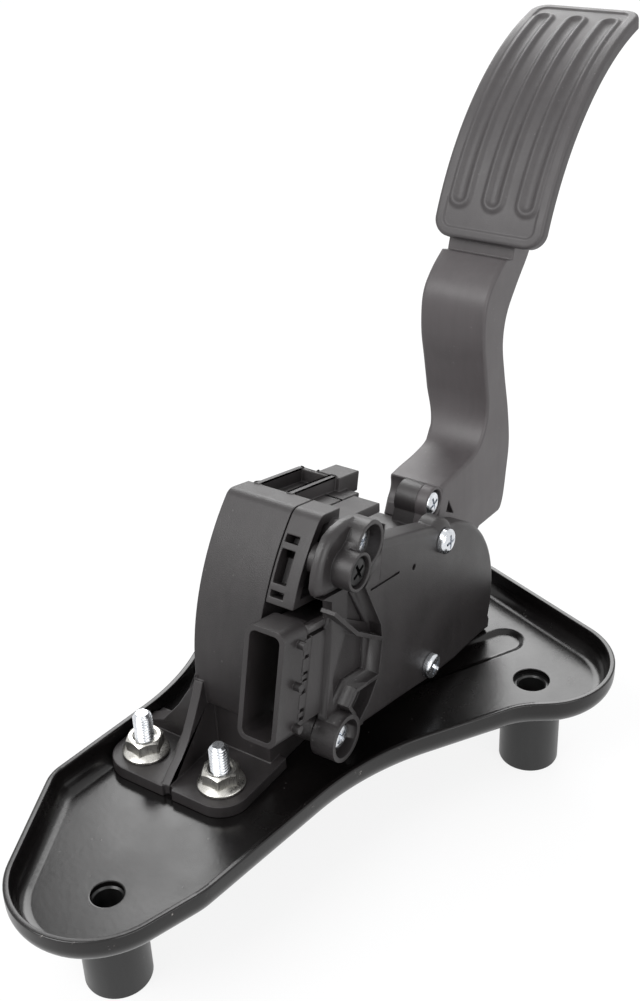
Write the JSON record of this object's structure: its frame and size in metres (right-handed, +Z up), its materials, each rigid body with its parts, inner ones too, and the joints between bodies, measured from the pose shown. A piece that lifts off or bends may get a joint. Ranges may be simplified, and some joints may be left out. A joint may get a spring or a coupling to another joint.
{
  "type": "pedal travel sensor",
  "caption": "Floor-standing accelerator pedal unit with a screwed position sensor housing and plug socket on a three-legged pressed plate.",
  "frame": {"origin": "centre of the front leg's lower face, on its bolt axis", "axes": "+Z up from the floor; +Y along the pivot shaft away from the screwed sensor cover; +X from the front leg and socket side towards the pedal arm, the way the pad moves when pressed"},
  "size_m": [0.2839, 0.1429, 0.212],
  "materials": {
    "plate_paint": "semi-gloss",
    "leg_paint": "satin",
    "zinc_steel": "satin",
    "nut_steel": "satin",
    "housing_plastic": "matte",
    "cover_plastic": "satin",
    "arm_plastic": "satin",
    "lever_plastic": "satin",
    "bush_bronze": "satin",
    "rubber_black": "matte",
    "contact_metal": "satin",
    "board_green": "satin",
    "chip_black": "matte",
    "target_metal": "satin",
    "black_screw": "gloss",
    "shaft_steel": "satin",
    "pad_rubber": "matte",
    "shoe_plastic": "matte",
    "spring_steel": "satin"
  },
  "bodies": {
    "base": {"base_plate": "plate_paint", "leg_front": "leg_paint", "leg_right": "leg_paint", "leg_rear": "leg_paint", "studs": "zinc_steel", "flange_nuts": "nut_steel", "foot_bushes": "zinc_steel", "housing": "housing_plastic", "side_lid": "housing_plastic", "far_bush": "bush_bronze", "near_bush": "bush_bronze", "sensor_cover": "cover_plastic", "cover_seal": "rubber_black", "contact_pins": "contact_metal", "circuit_board": "board_green", "board_parts": "chip_black", "cover_screws": "zinc_steel", "sunk_screw": "black_screw", "spring_plug": "lever_plastic", "rest_stop": "rubber_black", "end_stop": "rubber_black", "outer_spring": "spring_steel", "inner_spring": "spring_steel"},
    "pedal": {"pedal_arm": "arm_plastic", "drive_lever": "lever_plastic", "pivot_shaft": "shaft_steel", "shaft_clip": "shaft_steel", "hub_screw": "zinc_steel", "pad": "pad_rubber", "friction_shoe": "shoe_plastic", "target_rotor": "target_metal"},
    "cup": {"spring_cup": "lever_plastic"}
  },
  "joints": [
    {"name": "pedal_pivot", "type": "hinge", "parent": "base", "child": "pedal", "pos_m": [0.127, 0, 0.061], "axis": [0, 1, 0], "range_deg": [0, 16], "stiffness_Nm_per_rad": 8, "springref_deg": -22.92, "deforming": ["outer_spring", "inner_spring"]},
    {"name": "cup_rocker", "type": "hinge", "parent": "pedal", "child": "cup", "pos_m": [0.086, 0, 0.056], "axis": [0, 1, 0], "range_deg": [-16.5, 0.5]}
  ],
  "couplings": [
    {"joint": "cup_rocker", "follows": "pedal_pivot", "ratio": -1}
  ]
}
